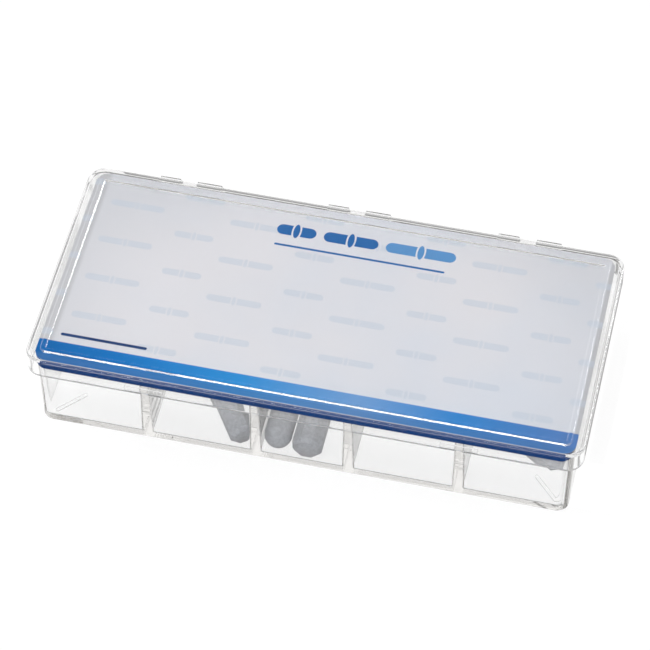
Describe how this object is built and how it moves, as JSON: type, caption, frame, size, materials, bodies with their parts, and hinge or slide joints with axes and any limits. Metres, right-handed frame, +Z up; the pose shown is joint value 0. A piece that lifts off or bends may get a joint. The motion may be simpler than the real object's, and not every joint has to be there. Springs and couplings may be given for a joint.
{
  "type": "magnetic stir bar set in hinged case",
  "caption": "Clear hinged case with compartments, holding coated magnetic stirring bars of several lengths.",
  "frame": {"origin": "on the table under the middle of the closed case, its hinges at the back included", "axes": "+X along the case's length, +Y from the opening front to the hinges at the back, +Z up"},
  "size_m": [0.178, 0.0874, 0.0337],
  "materials": {
    "clear_base": "clear moulded styrene",
    "clear_lid": "clear moulded styrene",
    "card": "coated card, pale with a blue band",
    "bar_jacket": "smooth satin fluoropolymer",
    "magnet": "cast magnet alloy"
  },
  "bodies": {
    "base": {"case_base": "clear_base", "bar_01_jacket": "bar_jacket", "bar_02_jacket": "bar_jacket", "bar_03_jacket": "bar_jacket", "bar_04_jacket": "bar_jacket", "bar_05_jacket": "bar_jacket", "bar_06_jacket": "bar_jacket", "bar_07_jacket": "bar_jacket", "bar_08_jacket": "bar_jacket", "bar_09_jacket": "bar_jacket", "bar_10_jacket": "bar_jacket", "bar_11_jacket": "bar_jacket", "bar_12_jacket": "bar_jacket", "bar_01_magnet": "magnet", "bar_02_magnet": "magnet", "bar_03_magnet": "magnet", "bar_04_magnet": "magnet", "bar_05_magnet": "magnet", "bar_06_magnet": "magnet", "bar_07_magnet": "magnet", "bar_08_magnet": "magnet", "bar_09_magnet": "magnet", "bar_10_magnet": "magnet", "bar_11_magnet": "magnet", "bar_12_magnet": "magnet"},
    "lid": {"case_lid": "clear_lid", "label_card": "card"}
  },
  "joints": [
    {"name": "lid_hinge", "type": "hinge", "parent": "base", "child": "lid", "pos_m": [0, 0.04165, 0.0264], "axis": [-1, 0, 0], "range_deg": [0, 110]}
  ]
}
